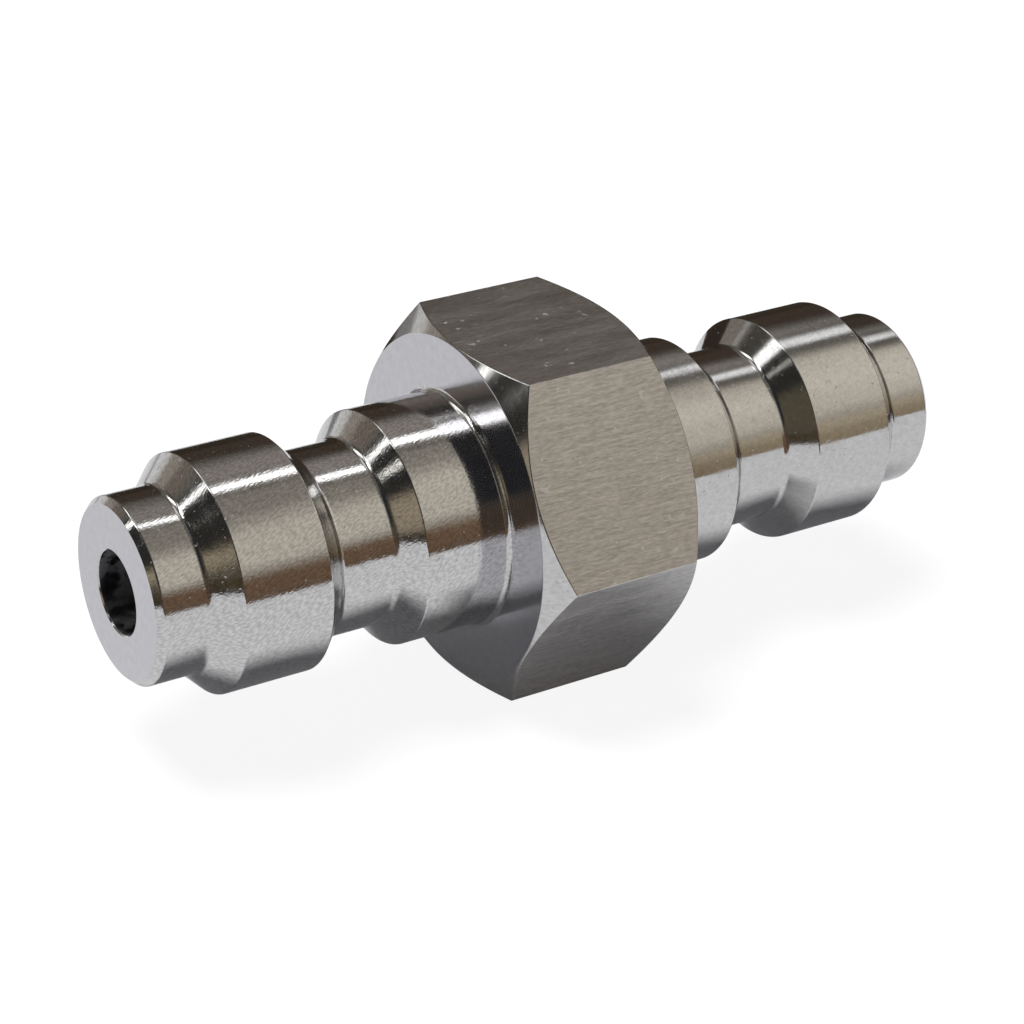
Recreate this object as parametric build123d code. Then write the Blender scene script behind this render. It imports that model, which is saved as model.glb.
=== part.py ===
from build123d import *
import math
import os

# Quick disconnect adapter: one turned piece, a hexagon in the middle and the same plug end on each side.
# Frame: millimetres, bore axis on X, two hexagon flats square to Z, origin at the middle of the hexagon.

# Hexagon
hex_across_flats = 12.0      # over two opposite flats
hex_length = 6.1             # between the two end faces, along X
hex_face_margin = 0.05       # the turned end face stops this far inside the flats
hex_chamfer_angle = 36.0     # corner chamfer, measured from the end face, degrees

# Shoulder next to the hexagon
shoulder_dia = 8.0
shoulder_length = 3.05       # hexagon face to the edge of the cone
shoulder_fillet = 0.2        # root against the hexagon face
shoulder_cone_length = 0.7   # shoulder edge down to the neck

# Neck between shoulder and collar
neck_dia = 6.3
neck_length = 2.0
neck_cone_length = 0.8       # neck up to the collar edge

# Collar
collar_dia = 8.0
collar_length = 3.05
collar_cone_length = 0.85    # outer collar edge down to the nose

# Nose
nose_dia = 6.25
nose_length = 1.75           # end of the cone to the end face
nose_chamfer_length = 0.22   # along the axis
nose_chamfer_drop = 0.22     # along the radius

# Small radii and bore
root_fillet = 0.3            # foot of each cone
bore_dia = 2.8
bore_chamfer = 0.05          # mouth of the bore, both ways

# Stations along X, from the middle outwards
hex_face_x = hex_length / 2
shoulder_edge_x = hex_face_x + shoulder_length
neck_inner_x = shoulder_edge_x + shoulder_cone_length
neck_outer_x = neck_inner_x + neck_length
collar_inner_x = neck_outer_x + neck_cone_length
collar_outer_x = collar_inner_x + collar_length
nose_root_x = collar_outer_x + collar_cone_length
end_x = nose_root_x + nose_length

hex_face_radius = hex_across_flats / 2 - hex_face_margin
hex_corner_radius = hex_across_flats / math.sqrt(3)
core_radius = (shoulder_dia / 2 + hex_face_radius) / 2


def end_outline():
    """Points (x, radius) of one plug end, from the hexagon face out to the bore."""
    return [
        (hex_face_x, core_radius),
        (hex_face_x, shoulder_dia / 2),
        (shoulder_edge_x, shoulder_dia / 2),
        (neck_inner_x, neck_dia / 2),
        (neck_outer_x, neck_dia / 2),
        (collar_inner_x, collar_dia / 2),
        (collar_outer_x, collar_dia / 2),
        (nose_root_x, nose_dia / 2),
        (end_x - nose_chamfer_length, nose_dia / 2),
        (end_x, nose_dia / 2 - nose_chamfer_drop),
        (end_x, bore_dia / 2 + bore_chamfer),
        (end_x - bore_chamfer, bore_dia / 2),
    ]


def corners_at(face, places):
    """Vertices of the face that sit at the given (x, radius) places on either side of the middle."""
    found = []
    for vertex in face.vertices():
        for x, radius in places:
            if abs(abs(vertex.X) - x) < 1e-4 and abs(vertex.Y - radius) < 1e-4:
                found.append(vertex)
    return found


def turned_section():
    """Half section above the bore axis, with its concave corners rounded."""
    right = end_outline()
    left = [(-x, radius) for x, radius in reversed(right)]
    section = make_face(Polyline(*right, *left, close=True))
    shoulder_roots = [(hex_face_x, shoulder_dia / 2)]
    cone_feet = [
        (neck_inner_x, neck_dia / 2),
        (neck_outer_x, neck_dia / 2),
        (nose_root_x, nose_dia / 2),
    ]
    section = fillet(corners_at(section, shoulder_roots), shoulder_fillet)
    section = fillet(corners_at(section, cone_feet), root_fillet)
    return section


def turned_ends():
    """Both plug ends and the core that runs through the hexagon, bored from end to end."""
    return revolve(turned_section(), Axis.X, 360)


def chamfer_envelope():
    """Double cone that trims the hexagon corners at both end faces."""
    slope = math.tan(math.radians(hex_chamfer_angle))
    reach = hex_corner_radius * 1.1
    run = (reach - hex_face_radius) * slope
    points = [
        (-hex_face_x, 0),
        (-hex_face_x, hex_face_radius),
        (run - hex_face_x, reach),
        (hex_face_x - run, reach),
        (hex_face_x, hex_face_radius),
        (hex_face_x, 0),
    ]
    return revolve(make_face(Polyline(*points, close=True)), Axis.X, 360)


def hexagon():
    """Hexagon with turned corners and a clear hole for the core."""
    outline = RegularPolygon(radius=hex_across_flats / 2, side_count=6, major_radius=False)
    bar = extrude(Plane.YZ * outline, amount=hex_length / 2, both=True)
    hole = Rotation(0, 90, 0) * Cylinder((core_radius + bore_dia / 2) / 2, hex_length * 2)
    return (bar & chamfer_envelope()) - hole


def adapter_body():
    """The whole adapter as one solid."""
    body = turned_ends() + hexagon()
    return body.clean()


os.makedirs("parts", exist_ok=True)
part = adapter_body()
solids = part.solids()
assert len(solids) == 1
solids[0].label = "adapter_body"
export_step(solids[0], "parts/adapter_body.step")
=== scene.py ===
import math

import bpy
import numpy as np
from mathutils import Matrix, Vector

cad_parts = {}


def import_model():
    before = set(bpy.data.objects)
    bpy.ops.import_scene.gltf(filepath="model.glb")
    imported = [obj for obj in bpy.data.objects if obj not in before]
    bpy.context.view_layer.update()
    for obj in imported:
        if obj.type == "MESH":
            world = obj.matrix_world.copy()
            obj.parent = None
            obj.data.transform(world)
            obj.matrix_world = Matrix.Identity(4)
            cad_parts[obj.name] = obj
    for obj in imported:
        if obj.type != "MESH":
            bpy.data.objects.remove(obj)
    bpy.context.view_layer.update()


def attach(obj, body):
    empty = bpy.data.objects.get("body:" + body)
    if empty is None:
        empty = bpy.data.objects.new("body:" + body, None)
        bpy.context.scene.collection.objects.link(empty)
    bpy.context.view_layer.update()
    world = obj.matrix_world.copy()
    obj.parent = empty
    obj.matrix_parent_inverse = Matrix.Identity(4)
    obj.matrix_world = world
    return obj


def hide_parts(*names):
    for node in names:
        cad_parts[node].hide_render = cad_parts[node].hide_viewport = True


# Studio scene of the quick disconnect adapter. Metres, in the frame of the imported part:
# bore axis on X, hexagon flats square to Z, the lowest flat on the floor.
# Azimuths and elevations are in degrees: azimuth 0 is the front (-Y), 90 the right (+X),
# elevation 90 is overhead.

MM = 0.001
MICROMETRE = 1e-6

# Sizes of the part, in millimetres, half of it from the middle outwards
HEX_FLATS = 12.0
HEX_FACE_X = 3.05
HEX_FACE_RADIUS = 5.95
HEX_CHAMFER_ANGLE = 36.0
SHOULDER_RADIUS = 4.0
SHOULDER_EDGE_X = 6.1
NECK_INNER_X = 6.8
NECK_OUTER_X = 8.8
NECK_RADIUS = 3.15
COLLAR_INNER_X = 9.6
COLLAR_OUTER_X = 12.65
COLLAR_RADIUS = 4.0
NOSE_ROOT_X = 13.5
NOSE_RADIUS = 3.125
END_X = 15.25
NOSE_CHAMFER_LENGTH = 0.22
NOSE_CHAMFER_DROP = 0.22
BORE_RADIUS = 1.4
BORE_CHAMFER = 0.05

# Rounding of the corners of the outline and width of the broken hexagon edges, in millimetres
SHOULDER_FILLET = 0.2
ROOT_FILLET = 0.3
COLLAR_EDGE = 0.07
SHOULDER_EDGE = 0.07
NOSE_EDGE = 0.1
FACE_EDGE = 0.04
BORE_EDGE = 0.015
HEX_EDGE = 0.07

# Mesh fineness
TURNED_STEPS = 384
HEX_STEPS_PER_FLAT = 40
HEX_EDGE_SEGMENTS = 4
HEX_EDGE_FROM_DEG = 18.0    # edges that turn by more than this are rounded
ARC_STEP_DEG = 9.0
FACE_RING_RADIUS = 5.6      # circle where the face of a plug end goes over into the hexagon's
CONE_MATCH_DEG = 3.0        # faces this close to the chamfer cone take its true normals

# Which faces get which steel. The hexagon's go by the length of their normal along the axis
TURNED, FACED, FLAT, DRILLED = 0, 1, 2, 3
END_FACE_ALONG = 0.98
FLAT_ALONG = 0.12
DRILLED_RADIUS = BORE_RADIUS + BORE_CHAMFER * 0.3
SAME_PLACE = 1e-3

# Layout of the UV layer "marks", in millimetres
OUTLINE_UV_START = 10.0     # the outline of both ends starts this far from zero
HEX_UV_START = 40.0         # and the turned faces of the hexagon here,
HEX_UV_RUN = 0.6            # with this much per millimetre along the axis
FLAT_UV_STEP = 20.0         # from one flat to the next

# Finish: marks, pits and painted glint specks (lighter spots on the flats) per millimetre, and the noise
# level at which each begins
HATCH_LEAN = 27.0           # degrees
HATCH_PER_MM = 15.0
HATCH_STRETCH = 2.5
HATCH_RIGHT_END = 0.3       # share of the marks' height that the right end has
PITS_PER_MM = 7.0
PITS_FROM = 0.73
GLINT_SPECKS_PER_MM = 3.4
GLINT_SPECKS_FROM = 0.705
SPOT_RIM = 0.05
NOISE_MIDDLE = 0.5

# Camera, in degrees, millimetres and pixels
CAMERA_AZIMUTH = -33.453
CAMERA_ELEVATION = 29.249
CAMERA_ROLL = 3.102
CAMERA_DISTANCE = 98.478
CAMERA_OFFSET = (-0.374, -0.871)
CAMERA_CLIP = 5.0
FOCAL_PIXELS = 2882.696
IMAGE_PIXELS = 1024
SENSOR_MM = 36.0

# Studio: lengths in metres, angles in degrees
FLOOR_HALF = 4.0
FLOOR_COLOR = (0.87, 0.87, 0.87)
FLOOR_WHITE = 1.15
FLOOR_WHITE_SHARE = 0.78    # how much of that white the camera sees, and mirrored rays
FLOOR_MIRROR_SHARE = 0.04
WORLD_DIFFUSE = 0.07
WORLD_SHADE = (0.9, 0.95, 1.2)
SUN_STRENGTH = 2.6
SUN_ANGLE = 28.0
SUN_TILT = (-11.0, -12.0)
TENT_RADIUS = 0.3
TENT_STEP = 1.2
TENT_LOWEST = -6.0
TENT_END = 91.0
TENT_POLE = 89.9

# Panels of the light tent: azimuth and elevation of the middle, half width, half height and
# soft edge in degrees, and brightness. A later panel covers the earlier ones.
TENT_BASE = (0.15, 0.14, 0.12)
TENT_PANELS = [
    ("front_foot", 20, 6, 60, 12, 4, (0.17, 0.107, 0.067)),
    ("front_right_foot", 54, 3, 22, 5, 4, (0.32, 0.26, 0.17)),
    ("front_right_step", 54, 13, 22, 6, 5, (0.44, 0.37, 0.26)),
    ("top_panel", 85, 66, 60, 8, 4, (0.28, 0.255, 0.22)),
    ("back_top_panel", 168, 70, 24, 9, 5, (0.9, 0.88, 0.85)),
    ("front_panel", 50, 38, 47, 19, 9, (0.62, 0.575, 0.49)),
    ("front_right_panel", 68, 38, 22, 17, 10, (0.76, 0.70, 0.60)),
    ("right_wall", 141, 47, 12, 11, 6, (0.30, 0.27, 0.25)),
    ("back_wall", 141, 16, 36, 14, 6, (0.062, 0.045, 0.034)),
    ("back_wall_low", 141, -2, 36, 8, 4, (0.034, 0.023, 0.017)),
    ("strip_shade", 107, 64, 5, 6, 3, (0.19, 0.175, 0.15)),
    ("right_strip", 125, 61, 6, 6.5, 1.5, (2.3, 2.3, 2.3)),
    ("right_strip_low", 118.5, 48, 5.5, 5, 3.5, (1.1, 1.1, 1.1)),
    ("left_dark", -90, 30, 40, 24, 6, (0.034, 0.032, 0.029)),
    ("left_front_dark", -44, 44, 28, 22, 6, (0.032, 0.033, 0.036)),
    ("left_front_brown", -34, 8, 22, 14, 5, (0.10, 0.072, 0.052)),
    ("left_dim", -66, 20, 14, 14, 5, (0.11, 0.095, 0.065)),
    ("left_foot", -60, 0, 12, 4.5, 2, (0.07, 0.052, 0.028)),
    ("left_olive", -81, 9, 9, 10, 3, (0.37, 0.31, 0.225)),
    ("left_top_dark", -86, 63, 22, 9, 4, (0.034, 0.034, 0.036)),
    ("left_patch", -100, 42, 2.5, 4, 1.5, (0.50, 0.50, 0.46)),
    ("right_lamp", 109, 35, 6, 3.2, 1.5, (2.0, 2.0, 1.95)),
    ("left_lamp", -102.5, 27.6, 3.2, 0.8, 0.7, (2.3, 2.25, 2.1)),
    ("edge_lamp", -158, 50, 19, 6, 3, (2.2, 2.2, 2.1)),
    ("left_strip_low", -122.6, 27, 2.5, 8, 1.0, (2.2, 2.2, 2.15)),
    ("left_strip", -124, 40.5, 7.5, 5, 2, (1.9, 1.9, 1.85)),
    ("left_strip_top", -123, 58, 8, 11, 1.2, (3.4, 3.4, 3.4)),
    ("left_wall", -145, 18, 12, 8, 4, (0.20, 0.165, 0.14)),
    ("left_wall_light", -158, 11, 7, 7, 3, (0.34, 0.30, 0.26)),
    ("left_back_dark", -145, 36.5, 11, 7, 2, (0.075, 0.068, 0.06)),
    ("left_back_light", -160, 23, 3.5, 3.5, 2, (0.40, 0.38, 0.36)),
    ("back_left_mid", -171, 14, 9, 8, 4, (0.25, 0.22, 0.19)),
    ("back_left_base", -170, 1.2, 11, 5, 2, (0.68, 0.67, 0.64)),
]

# Upright cards on the floor, inside the tent: first corner (x, y), way to the second (x, y) and
# height in millimetres, and brightness
CARDS = [
    ("front_edge_card", (-90, -60), (126, 0), 6, (0.15, 0.098, 0.062)),
    ("left_edge_card", (-70, -60), (0, 80), 6, (0.06, 0.048, 0.032)),
    ("back_middle_card", (-10.5, 47), (12, 0), 10, (0.25, 0.24, 0.235)),
    ("back_low_card", (-17, 47), (6.5, 0), 3, (0.40, 0.39, 0.38)),
    ("back_edge_card", (-2.3, 35), (34, 1), 14, (0.04, 0.03, 0.022)),
    ("back_far_card", (22, 27), (38, -7), 10.5, (0.045, 0.034, 0.024)),
    ("right_edge_card", (50, -40), (0, 75), 7, (0.07, 0.055, 0.045)),
]


# Meshes and objects

def new_mesh(name, points, faces, *materials):
    mesh = bpy.data.meshes.new(name)
    mesh.from_pydata(points, [], faces)
    for material in materials:
        mesh.materials.append(material)
    return mesh


def added(name, data):
    """New object in the scene that shows the given mesh, light or camera."""
    made = bpy.data.objects.new(name, data)
    bpy.context.scene.collection.objects.link(made)
    return made


def ring_faces(rows, columns):
    """Quads between rows of points, where each row closes into a ring."""
    faces = []
    for i in range(rows - 1):
        for j in range(columns):
            here, after = i * columns, (i + 1) * columns
            k = (j + 1) % columns
            faces.append([here + j, after + j, after + k, here + k])
    return faces


def toward(azimuth, elevation):
    """Unit direction (x, y, z) at an azimuth and elevation."""
    a, e = math.radians(azimuth), math.radians(elevation)
    return math.sin(a) * math.cos(e), -math.cos(a) * math.cos(e), math.sin(e)


# Outline of the turned ends

def outline_corners():
    """Corners (x, radius, rounding) of one half of the outline, from the hexagon face to the bore."""
    return [
        (HEX_FACE_X, FACE_RING_RADIUS, 0.0),
        (HEX_FACE_X, SHOULDER_RADIUS, SHOULDER_FILLET),
        (SHOULDER_EDGE_X, SHOULDER_RADIUS, SHOULDER_EDGE),
        (NECK_INNER_X, NECK_RADIUS, ROOT_FILLET),
        (NECK_OUTER_X, NECK_RADIUS, ROOT_FILLET),
        (COLLAR_INNER_X, COLLAR_RADIUS, COLLAR_EDGE),
        (COLLAR_OUTER_X, COLLAR_RADIUS, COLLAR_EDGE),
        (NOSE_ROOT_X, NOSE_RADIUS, ROOT_FILLET),
        (END_X - NOSE_CHAMFER_LENGTH, NOSE_RADIUS, NOSE_EDGE),
        (END_X, NOSE_RADIUS - NOSE_CHAMFER_DROP, FACE_EDGE),
        (END_X, BORE_RADIUS + BORE_CHAMFER, BORE_EDGE),
        (END_X - BORE_CHAMFER, BORE_RADIUS, BORE_EDGE),
        (0.0, BORE_RADIUS, 0.0),
    ]


def left_normal(direction):
    return np.array([-direction[1], direction[0]])


def rotated(vector, angle):
    c, s = math.cos(angle), math.sin(angle)
    return np.array([c * vector[0] - s * vector[1], s * vector[0] + c * vector[1]])


def corner_arc(place, radius, before, after):
    """Points and outward normals of the arc that rounds a corner between two unit directions."""
    turn = math.atan2(before[0] * after[1] - before[1] * after[0], before @ after)
    side = 1.0 if turn > 0 else -1.0
    tangent = radius * math.tan(abs(turn) / 2)
    start = place - before * tangent
    centre = start + left_normal(before) * radius * side
    steps = max(2, int(math.ceil(math.degrees(abs(turn)) / ARC_STEP_DEG)))
    normals = [left_normal(rotated(before, turn * k / steps)) for k in range(steps + 1)]
    points = [centre - normal * radius * side for normal in normals]
    return points, normals


def rounded_outline(corners):
    """Points, outward normals and lengths along an outline whose corners are arcs."""
    places = [np.array(corner[:2], float) for corner in corners]
    ways = [(b - a) / np.linalg.norm(b - a) for a, b in zip(places, places[1:])]
    points, normals = [places[0]], [left_normal(ways[0])]
    for corner, place, before, after in zip(corners[1:], places[1:], ways, ways[1:]):
        arc, facing = corner_arc(place, corner[2], before, after)
        points.extend(arc)
        normals.extend(facing)
    points.append(places[-1])
    normals.append(left_normal(ways[-1]))
    steps = [np.linalg.norm(b - a) for a, b in zip(points, points[1:])]
    return np.array(points), np.array(normals), np.concatenate([[0], np.cumsum(steps)])


# The skin: one mesh with its own normals, UVs and material numbers

class Skin:
    """Collects faces for the mesh."""

    def __init__(self):
        self.points, self.faces, self.normals, self.uvs, self.kinds = [], [], [], [], []

    def grid(self, points, normals, uvs, kinds, flip):
        """Adds rows of points, each closed into a ring; uvs has one more column, kinds one per row."""
        rows, columns = points.shape[:2]
        base = len(self.points)
        self.points.extend(points.reshape(-1, 3).tolist())
        for i in range(rows - 1):
            for j in range(columns):
                k = (j + 1) % columns
                ring = [(i, j, j), (i, k, j + 1), (i + 1, k, j + 1), (i + 1, j, j)]
                if flip:
                    ring.reverse()
                self.faces.append([base + r * columns + c for r, c, _ in ring])
                self.normals.extend(normals[r, c].tolist() for r, c, _ in ring)
                self.uvs.extend(uvs[r, u].tolist() for r, _, u in ring)
                self.kinds.append(kinds[i])

    def add_mesh(self, mesh, uv_of, normal_of, kind_of):
        """Adds a finished mesh; normal_of may mend the normals it has."""
        base = len(self.points)
        self.points.extend([list(v.co) for v in mesh.vertices])
        for polygon in mesh.polygons:
            kind = kind_of(polygon)
            self.faces.append([base + i for i in polygon.vertices])
            self.kinds.append(kind)
            for loop in polygon.loop_indices:
                corner = mesh.vertices[mesh.loops[loop].vertex_index].co
                given = mesh.corner_normals[loop].vector
                self.normals.append(normal_of(corner, polygon.normal, given))
                self.uvs.append(uv_of(corner, kind, polygon.normal))

    def build(self, name, materials):
        mesh = new_mesh(name, self.points, self.faces, *materials)
        layer = mesh.uv_layers.new(name="marks")
        layer.data.foreach_set("uv", np.array(self.uvs, np.float32).ravel())
        mesh.polygons.foreach_set("material_index", self.kinds)
        mesh.polygons.foreach_set("use_smooth", [True] * len(self.faces))
        mesh.update()
        mesh.normals_split_custom_set(self.normals)
        return mesh


def swept(pairs, ring, side):
    """Turns pairs (along the axis, away from it) into vectors all around the bore axis."""
    made = np.zeros((len(pairs), len(ring), 3))
    made[..., 0] = side * pairs[:, :1]
    made[..., 1] = pairs[:, 1:] * np.cos(ring)
    made[..., 2] = pairs[:, 1:] * np.sin(ring)
    return made


def turned_kind(x, radius):
    """Which steel a place on the outline gets."""
    if radius < DRILLED_RADIUS:
        return DRILLED
    if abs(x - END_X) < SAME_PLACE or abs(x - HEX_FACE_X) < SAME_PLACE:
        return FACED
    return TURNED


def add_turned_end(skin, side):
    """One plug end with its half of the bore; side is -1 for the left end and 1 for the right."""
    points, normals, lengths = rounded_outline(outline_corners())
    angles = np.linspace(0, 2 * math.pi, TURNED_STEPS + 1)
    uvs = np.zeros((len(points), len(angles), 2))
    uvs[..., 0] = angles / (2 * math.pi)
    uvs[..., 1] = side * (lengths[:, None] + OUTLINE_UV_START)
    kinds = [turned_kind(*middle) for middle in (points[:-1] + points[1:]) / 2]
    ring = angles[:-1]
    skin.grid(swept(points, ring, side) * MM, swept(normals, ring, side), uvs, kinds, flip=side < 0)


def flat_angle(flat):
    """Angle of the middle of a flat around the bore axis, from +Y towards +Z."""
    return math.radians(30 + 60 * flat)


def hexagon_mesh():
    """The hexagon between its end faces, with sharp edges: end rings, chamfer cones and flats."""
    angles, radii = [], []
    for flat in range(6):
        for k in range(HEX_STEPS_PER_FLAT):
            offset = (k / HEX_STEPS_PER_FLAT - 0.5) * math.pi / 3
            angles.append(flat_angle(flat) + offset)
            radii.append(HEX_FLATS / 2 / math.cos(offset))
    angles, radii = np.array(angles), np.array(radii)
    cone_x = HEX_FACE_X - (radii - HEX_FACE_RADIUS) * math.tan(math.radians(HEX_CHAMFER_ANGLE))
    around = np.ones(len(angles))
    rings = [
        (HEX_FACE_X * around, FACE_RING_RADIUS * around),
        (HEX_FACE_X * around, HEX_FACE_RADIUS * around),
        (cone_x, radii),
        (-cone_x, radii),
        (-HEX_FACE_X * around, HEX_FACE_RADIUS * around),
        (-HEX_FACE_X * around, FACE_RING_RADIUS * around),
    ]
    points = np.concatenate([np.c_[x, r * np.cos(angles), r * np.sin(angles)] for x, r in rings])
    mesh = new_mesh("hexagon", (points * MM).tolist(), ring_faces(len(rings), len(angles)))
    mesh.polygons.foreach_set("use_smooth", [True] * len(mesh.polygons))
    mesh.update()
    return mesh


def rounded_hexagon():
    """Mesh of the hexagon with a narrow rounding along every edge."""
    thing = added("hexagon", hexagon_mesh())
    bevel = thing.modifiers.new("edges", "BEVEL")
    bevel.width = HEX_EDGE * MM
    bevel.segments = HEX_EDGE_SEGMENTS
    bevel.limit_method = "ANGLE"
    bevel.angle_limit = math.radians(HEX_EDGE_FROM_DEG)
    bevel.harden_normals = True
    bevel.use_clamp_overlap = True
    graph = bpy.context.evaluated_depsgraph_get()
    mesh = bpy.data.meshes.new_from_object(thing.evaluated_get(graph), depsgraph=graph)
    bpy.data.objects.remove(thing)
    return mesh


def hexagon_kind(polygon):
    """Flats lie square to the axis; end rings look along it; the rest is turned."""
    along = abs(polygon.normal.x)
    if along > END_FACE_ALONG:
        return FACED
    if along < FLAT_ALONG:
        return FLAT
    return TURNED


def hexagon_uv(corner, kind, normal):
    """Millimetres along the axis and across the flat, or turns and outline length on turned faces."""
    x, y, z = (c / MM for c in corner)
    if kind == FLAT:
        flat = math.floor(math.degrees(math.atan2(normal.z, normal.y)) / 60)
        lean = flat_angle(flat)
        return [x, z * math.cos(lean) - y * math.sin(lean) + FLAT_UV_STEP * flat]
    outward = math.hypot(y, z) + abs(x) * HEX_UV_RUN + HEX_UV_START
    return [math.atan2(z, y) / (2 * math.pi), outward]


def hexagon_normal(corner, facing, given):
    """On the chamfers the normal of the true cone, elsewhere the given one."""
    x, y, z = corner
    radius = math.hypot(y, z)
    tilt = math.radians(HEX_CHAMFER_ANGLE)
    away = math.sin(tilt) / radius
    cone = Vector((math.copysign(math.cos(tilt), x), away * y, away * z))
    near = cone.dot(facing) > math.cos(math.radians(CONE_MATCH_DEG))
    return list(cone) if near else list(given)


# Shader nodes

def new_material(name):
    material = bpy.data.materials.new(name)
    material.use_nodes = True
    return material, material.node_tree


def set_inputs(tree, made, inputs):
    """Sets a node's inputs: an output of another node is linked, anything else is a plain value."""
    for key, value in inputs.items():
        if isinstance(value, bpy.types.NodeSocket):
            tree.links.new(value, made.inputs[key])
        else:
            made.inputs[key].default_value = value


def node(tree, kind, place, inputs, **settings):
    """New node at a place (x, y) of the node editor, with its settings and inputs."""
    made = tree.nodes.new(kind)
    made.location = place
    for key, value in settings.items():
        setattr(made, key, value)
    set_inputs(tree, made, inputs)
    return made


def ramp(tree, source, span, result, place):
    """Maps a span (low, high) of the source onto the result (low, high), and holds it at both ends."""
    made = node(tree, "ShaderNodeMapRange", place, {
        "Value": source,
        "From Min": span[0],
        "From Max": span[1],
        "To Min": result[0],
        "To Max": result[1],
    })
    return made.outputs["Result"]


def tint(tree, source, dark, light, place):
    """Colour between dark, where the source is 0, and light, where it is 1."""
    mix = node(tree, "ShaderNodeMix", place, {
        "Factor": source,
        "A": (*dark, 1),
        "B": (*light, 1),
    }, data_type="RGBA")
    return mix.outputs["Result"]


def specked(tree, color, mask, light, place):
    """The colour, with a lighter one where the mask is set."""
    mix = node(tree, "ShaderNodeMix", place, {
        "Factor": mask,
        "A": color,
        "B": (*light, 1),
    }, data_type="RGBA")
    return mix.outputs["Result"]


def joined(tree, first, second, operation, place):
    """One output made from two by a Math node, such as their sum or the larger of them."""
    made = node(tree, "ShaderNodeMath", place, {0: first, 1: second}, operation=operation)
    return made.outputs[0]


def marks_uv(tree, place):
    return node(tree, "ShaderNodeUVMap", place, {}, uv_map="marks").outputs["UV"]


def second_part(tree, uv, place):
    """V alone: on turned faces the length along the outline, below zero on the left end."""
    return node(tree, "ShaderNodeSeparateXYZ", place, {"Vector": uv}).outputs["Y"]


def ring_marks(tree, pitch, detail, place):
    """Noise that only changes along the outline, so it draws rings around the bore axis."""
    x, y = place
    uv = marks_uv(tree, (x - 600, y))
    rings = node(tree, "ShaderNodeTexNoise", place, {
        "W": second_part(tree, uv, (x - 400, y)),
        "Scale": 1.0 / pitch,
        "Detail": detail,
        "Roughness": 0.6,
    }, noise_dimensions="1D")
    return rings.outputs["Fac"]


def grain(tree, per_mm, detail, place):
    """Even noise through the solid."""
    x, y = place
    coords = node(tree, "ShaderNodeTexCoord", (x - 200, y), {})
    noise = node(tree, "ShaderNodeTexNoise", place, {
        "Vector": coords.outputs["Object"],
        "Scale": per_mm / MM,
        "Detail": detail,
    })
    return noise.outputs["Fac"]


def pit_and_glint_marks(tree, per_mm, start, place):
    """Sparse tiny spots, -1 at their middle and zero nearly everywhere: dents when used as a bump, painted
    glints when used as a colour; start is the noise at their rim.
    """
    x, y = place
    spots = grain(tree, per_mm, 1.0, place)
    return ramp(tree, spots, (start, start + SPOT_RIM), (0.0, -1.0), (x + 200, y))


def streaks(tree, per_mm, stretch, detail, place):
    """Noise drawn out along the axis of the bar; the UV of a flat is in millimetres."""
    x, y = place
    scaled = node(tree, "ShaderNodeMapping", (x - 200, y), {
        "Vector": marks_uv(tree, (x - 400, y)),
        "Scale": (per_mm / stretch, per_mm, 1.0),
    })
    noise = node(tree, "ShaderNodeTexNoise", place, {
        "Vector": scaled.outputs["Vector"],
        "Scale": 1.0,
        "Detail": detail,
        "Roughness": 0.55,
    }, noise_dimensions="2D")
    return noise.outputs["Fac"]


def hatching(tree, lean, place):
    """Fine short marks, fainter on the right end; lean is their angle to the axis, in degrees."""
    x, y = place
    uv = marks_uv(tree, (x - 800, y))
    unroll = {"Scale": (2 * math.pi * COLLAR_RADIUS, 1.0, 1.0)}
    turn = {"Rotation": (0, 0, math.radians(lean))}
    stretch = {"Scale": (HATCH_PER_MM, HATCH_PER_MM / HATCH_STRETCH, 1.0)}
    vector = uv
    for i, change in enumerate([unroll, turn, stretch]):
        step = node(tree, "ShaderNodeMapping", (x - 600 + 200 * i, y), {"Vector": vector, **change})
        vector = step.outputs["Vector"]
    noise = node(tree, "ShaderNodeTexNoise", place, {
        "Vector": vector,
        "Scale": 1.0,
        "Detail": 0.5,
    }, noise_dimensions="2D")
    along = second_part(tree, uv, (x - 600, y - 150))
    both_ends = (-OUTLINE_UV_START, OUTLINE_UV_START)
    faded = node(tree, "ShaderNodeMix", (x + 80, y), {
        "Factor": ramp(tree, along, both_ends, (1.0, HATCH_RIGHT_END), (x, y - 150)),
        "A": NOISE_MIDDLE,
        "B": noise.outputs["Fac"],
    }, data_type="FLOAT")
    return faded.outputs["Result"]


def relief(tree, shader, layers):
    """Stacks bump layers (height, depth in micrometres) on the shader's normal."""
    below = {}
    for i, (height, depth) in enumerate(layers):
        bump = node(tree, "ShaderNodeBump", (-500 + 160 * i, -700), {
            "Height": height,
            "Distance": depth * MICROMETRE,
            "Strength": 1.0,
            **below,
        })
        below = {"Normal": bump.outputs["Normal"]}
    set_inputs(tree, shader, below)


# Materials of the part

def steel(name, base, roughness, anisotropy=0.0):
    """A plain steel shader, grained around the bore axis; detail is linked to it afterwards."""
    material, tree = new_material(name)
    shader = tree.nodes["Principled BSDF"]
    around = node(tree, "ShaderNodeTangent", (-300, -400), {}, direction_type="RADIAL", axis="X")
    set_inputs(tree, shader, {
        "Base Color": (*base, 1),
        "Metallic": 1.0,
        "Roughness": roughness,
        "Anisotropic": anisotropy,
        "Tangent": around.outputs["Tangent"],
    })
    return material, tree, shader


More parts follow.
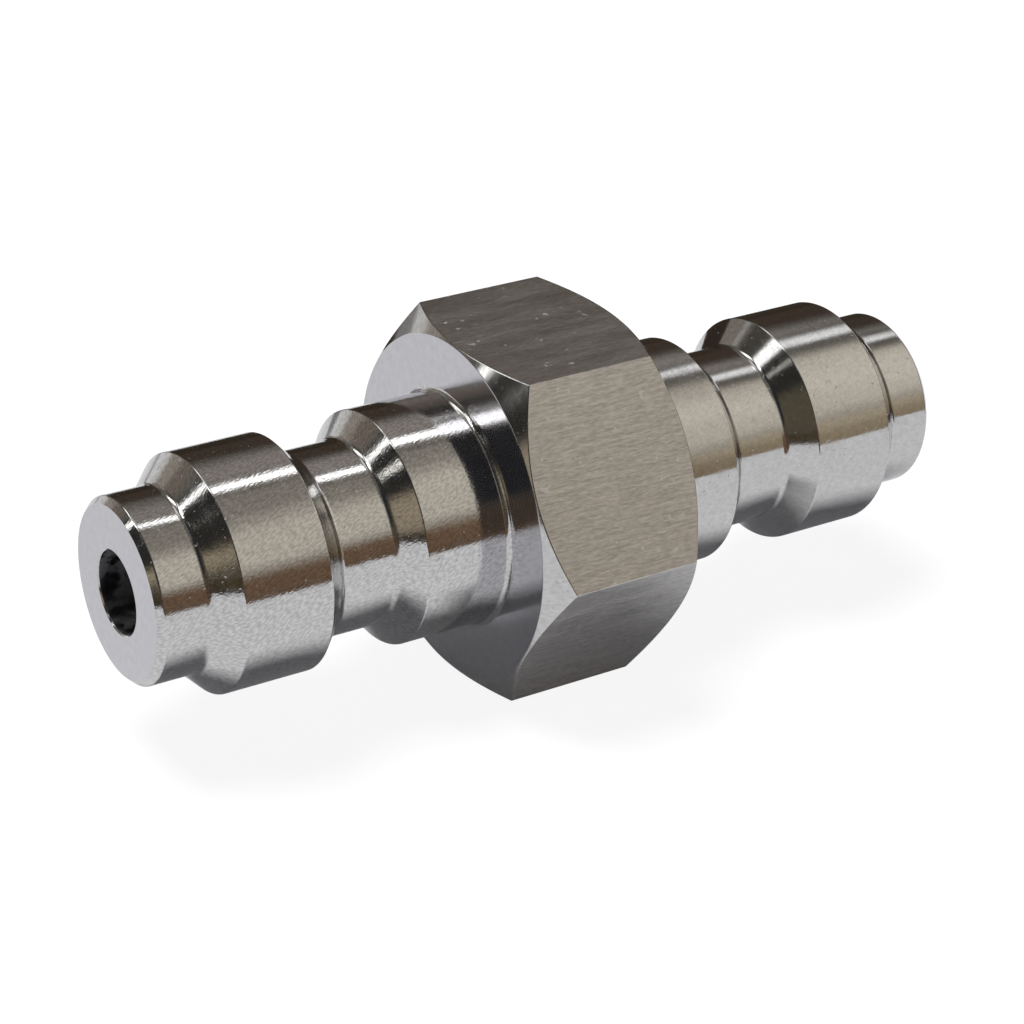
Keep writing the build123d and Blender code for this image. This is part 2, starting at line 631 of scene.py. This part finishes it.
def turned_steel():
    """Turned surfaces: bright, with fine rings from the tool, crossing polishing marks and a few pits."""
    material, tree, shader = steel("turned_steel", (0.61, 0.605, 0.605), 0.09)
    fine = ring_marks(tree, 0.16, 2.0, (-1000, 300))
    wide = ring_marks(tree, 0.9, 3.0, (-1000, 0))
    leaning = hatching(tree, -HATCH_LEAN, (-1000, -300))
    crossing = hatching(tree, HATCH_LEAN, (-1000, -600))
    speck = grain(tree, 5.0, 3.0, (-1000, -900))
    pitted = pit_and_glint_marks(tree, PITS_PER_MM, PITS_FROM, (-1000, -1200))
    cloudy = ramp(tree, speck, (0.3, 0.7), (0.0, 0.35), (-850, -900))
    marked = ramp(tree, leaning, (0.35, 0.65), (0.0, 0.65), (-850, -300))
    mottled = joined(tree, cloudy, marked, "ADD", (-650, 300))
    set_inputs(tree, shader, {
        "Base Color": tint(tree, mottled, (0.48, 0.475, 0.475), (0.72, 0.715, 0.715), (-400, 300)),
        "Roughness": ramp(tree, wide, (0.3, 0.7), (0.07, 0.13), (-400, 100)),
    })
    relief(tree, shader, [(fine, 0.8), (leaning, 1.2), (crossing, 0.7), (pitted, 6.0)])
    return material


def faced_steel():
    """End faces: very fine rings under an even sheen."""
    material, tree, shader = steel("faced_steel", (0.63, 0.62, 0.62), 0.13)
    fine = ring_marks(tree, 0.3, 0.5, (-1000, 300))
    speck = grain(tree, 4.0, 3.0, (-1000, -300))
    set_inputs(tree, shader, {
        "Base Color": tint(tree, speck, (0.53, 0.525, 0.55), (0.67, 0.66, 0.69), (-400, 300)),
    })
    relief(tree, shader, [(fine, 0.15)])
    return material


def drawn_steel():
    """Hexagon flats: satin lines of the drawn bar, a fine grain over them and a few painted glints, small
    specks that are lighter and less metallic.
    """
    material, tree, shader = steel("drawn_steel", (0.60, 0.59, 0.58), 0.38, anisotropy=0.35)
    lines = streaks(tree, 8.5, 10.0, 3.0, (-1000, 300))
    broad = streaks(tree, 1.6, 6.0, 2.0, (-1000, 0))
    fleck = streaks(tree, 14.0, 4.0, 1.0, (-1000, -300))
    # painted glints: sparse specks with no bump, made lighter and less metallic so the lamp shows them as
    # bright dots
    spots = pit_and_glint_marks(tree, GLINT_SPECKS_PER_MM, GLINT_SPECKS_FROM, (-1000, -600))
    long = ramp(tree, lines, (0.37, 0.63), (0.0, 0.5), (-850, 300))
    short = ramp(tree, fleck, (0.37, 0.63), (0.0, 0.5), (-850, -300))
    drawn = joined(tree, long, short, "ADD", (-650, 300))
    color = tint(tree, drawn, (0.49, 0.48, 0.475), (0.705, 0.69, 0.68), (-400, 300))
    # where the painted glint specks are, the colour goes lighter and the metal less
    painted_glint_share = ramp(tree, spots, (-1.0, 0.0), (1.0, 0.0), (-400, -300))
    set_inputs(tree, shader, {
        "Base Color": specked(tree, color, painted_glint_share, (0.72, 0.71, 0.69), (-200, 300)),
        "Metallic": ramp(tree, spots, (-1.0, 0.0), (0.65, 1.0), (-200, -100)),
        "Roughness": ramp(tree, broad, (0.3, 0.7), (0.30, 0.40), (-400, 0)),
    })
    relief(tree, shader, [(lines, 4.4), (fleck, 4.4)])
    return material


def drilled_steel():
    """Inside of the bore: dull, with rings from the drill and dark and light blotches."""
    material, tree, shader = steel("drilled_steel", (0.30, 0.30, 0.32), 0.5)
    rings = ring_marks(tree, 0.3, 2.0, (-1000, 300))
    blot = grain(tree, 1.5, 3.0, (-1000, 0))
    set_inputs(tree, shader, {
        "Base Color": tint(tree, blot, (0.07, 0.07, 0.085), (0.50, 0.50, 0.53), (-400, 300)),
        "Roughness": ramp(tree, blot, (0.47, 0.62), (0.28, 0.85), (-400, 0)),
    })
    relief(tree, shader, [(rings, 8.0)])
    return material


def adapter():
    """The one visible piece, in place of the CAD body."""
    skin = Skin()
    add_turned_end(skin, -1)
    add_turned_end(skin, 1)
    skin.add_mesh(rounded_hexagon(), hexagon_uv, hexagon_normal, hexagon_kind)
    materials = [turned_steel(), faced_steel(), drawn_steel(), drilled_steel()]
    return added("adapter_skin", skin.build("adapter_skin", materials))


# Studio

def ray_kinds(tree, place):
    """Two outputs: 1 for rays straight from the camera, and 1 for those by way of metal or glass."""
    x, y = place
    path = node(tree, "ShaderNodeLightPath", place, {}).outputs
    mirrored = joined(tree, path["Is Glossy Ray"], path["Is Transmission Ray"], "MAXIMUM", (x + 200, y))
    return path["Is Camera Ray"], mirrored


def floor():
    """White paper that goes to pure white for the camera and still shows the shadow."""
    material, tree = new_material("floor_paper")
    paper = tree.nodes["Principled BSDF"]
    set_inputs(tree, paper, {
        "Base Color": (*FLOOR_COLOR, 1),
        "Roughness": 1.0,
        "Specular IOR Level": 0.0,
    })
    white = node(tree, "ShaderNodeEmission", (0, -500), {"Strength": FLOOR_WHITE})
    direct, mirrored = ray_kinds(tree, (-900, 300))
    straight = ramp(tree, direct, (0, 1), (0, FLOOR_WHITE_SHARE), (-500, 400))
    bounced = ramp(tree, mirrored, (0, 1), (0, FLOOR_MIRROR_SHARE), (-500, 200))
    mix = node(tree, "ShaderNodeMixShader", (300, 0), {
        0: joined(tree, straight, bounced, "MAXIMUM", (-200, 300)),
        1: paper.outputs[0],
        2: white.outputs[0],
    })
    set_inputs(tree, tree.nodes["Material Output"], {"Surface": mix.outputs[0]})
    half, z = FLOOR_HALF, -HEX_FLATS / 2 * MM
    corners = [(-half, -half, z), (half, -half, z), (half, half, z), (-half, half, z)]
    made = added("floor", new_mesh("floor", corners, [(0, 1, 2, 3)], material))


def world():
    """White where the camera, metal or glass look at it, softer as a light on the floor."""
    made = bpy.data.worlds.new("studio")
    made.use_nodes = True
    tree = made.node_tree
    direct, mirrored = ray_kinds(tree, (-900, 0))
    seen = joined(tree, direct, mirrored, "MAXIMUM", (-500, 0))
    set_inputs(tree, tree.nodes["Background"], {
        "Strength": ramp(tree, seen, (0, 1), (WORLD_DIFFUSE, 1.0), (-300, 0)),
        "Color": tint(tree, seen, WORLD_SHADE, (1, 1, 1), (-300, 200)),
    })
    bpy.context.scene.world = made


def sun():
    """Soft lamp overhead, a little to the back and left; the metal doesn't mirror it."""
    light = bpy.data.lights.new("top_light", "SUN")
    light.energy = SUN_STRENGTH
    light.angle = math.radians(SUN_ANGLE)
    made = added("top_light", light)
    made.rotation_euler = (math.radians(SUN_TILT[0]), math.radians(SUN_TILT[1]), 0)
    made.visible_glossy = False


def smooth_inside(distance, half, soft):
    """1 inside the half width, 0 outside, with a smooth step as wide as the soft edge on both sides."""
    t = np.clip((half + soft - distance) / (2 * soft), 0, 1)
    return t * t * (3 - 2 * t)


def tent_light(azimuth, elevation):
    """Brightness of the tent at arrays of azimuth and elevation."""
    light = np.tile(np.array(TENT_BASE), (len(azimuth), 1))
    for _, az, el, half_az, half_el, soft, color in TENT_PANELS:
        around = np.abs((azimuth - az + 180) % 360 - 180)
        above = np.abs(elevation - el)
        cover = smooth_inside(around, half_az, soft) * smooth_inside(above, half_el, soft)
        light = light * (1 - cover[:, None]) + np.array(color) * cover[:, None]
    return light


def glow(name, attribute=None, color=None):
    """Light of one colour, or of the colours in an attribute of the mesh."""
    material, tree = new_material(name)
    tree.nodes.remove(tree.nodes["Principled BSDF"])
    if attribute:
        source = node(tree, "ShaderNodeAttribute", (-300, 0), {}, attribute_name=attribute)
        value = source.outputs["Color"]
    else:
        value = (*color, 1)
    emission = node(tree, "ShaderNodeEmission", (0, 0), {"Color": value})
    set_inputs(tree, tree.nodes["Material Output"], {"Surface": emission.outputs[0]})
    material.cycles.emission_sampling = "NONE"
    return material


def only_in_reflections(thing):
    thing.visible_camera = False
    thing.visible_diffuse = False
    thing.visible_shadow = False
    thing.visible_volume_scatter = False


def tent():
    """Round light tent: the metal sees its panels, the floor and the camera don't."""
    azimuths = np.arange(0, 360, TENT_STEP)
    elevations = np.arange(TENT_LOWEST, TENT_END, TENT_STEP)
    places = np.array([(azimuth, elevation) for elevation in elevations for azimuth in azimuths])
    points = [
        [part * TENT_RADIUS for part in toward(azimuth, min(elevation, TENT_POLE))]
        for azimuth, elevation in places
    ]
    faces = ring_faces(len(elevations), len(azimuths))
    mesh = new_mesh("light_tent", points, faces, glow("tent_glow", attribute="panels"))
    light = tent_light(places[:, 0], places[:, 1])
    colors = mesh.color_attributes.new("panels", "FLOAT_COLOR", "POINT")
    colors.data.foreach_set("color", np.c_[light, np.ones(len(light))].astype(np.float32).ravel())
    only_in_reflections(added("light_tent", mesh))


def card(name, corner, along, height, color):
    """Upright card on the floor, seen only by the metal."""
    z = -HEX_FLATS / 2
    x, y = corner
    dx, dy = along
    points = [(x, y, z), (x + dx, y + dy, z), (x + dx, y + dy, z + height), (x, y, z + height)]
    mesh = new_mesh(name, (np.array(points) * MM).tolist(), [(0, 1, 2, 3)], glow(name, color=color))
    only_in_reflections(added(name, mesh))


def camera():
    """Camera as fitted to the photograph: aimed at the middle, then moved sideways and up, and rolled."""
    back = Vector(toward(CAMERA_AZIMUTH, CAMERA_ELEVATION))
    level = (-back).cross(Vector((0, 0, 1))).normalized()
    upright = level.cross(-back)
    roll = math.radians(CAMERA_ROLL)
    right = math.cos(roll) * level + math.sin(roll) * upright
    up = -math.sin(roll) * level + math.cos(roll) * upright
    place = (back * CAMERA_DISTANCE + level * CAMERA_OFFSET[0] + upright * CAMERA_OFFSET[1]) * MM
    data = bpy.data.cameras.new("camera")
    data.sensor_width = SENSOR_MM
    data.lens = FOCAL_PIXELS / IMAGE_PIXELS * SENSOR_MM
    data.clip_start = CAMERA_CLIP * MM
    made = added("camera", data)
    made.matrix_world = Matrix((
        (right.x, up.x, back.x, place.x),
        (right.y, up.y, back.y, place.y),
        (right.z, up.z, back.z, place.z),
        (0, 0, 0, 1),
    ))
    bpy.context.scene.camera = made


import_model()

body = adapter()
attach(body, "root")
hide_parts("adapter_body")

floor()
world()
sun()
tent()
for values in CARDS:
    card(*values)
camera()
bpy.context.scene.view_settings.view_transform = "Standard"
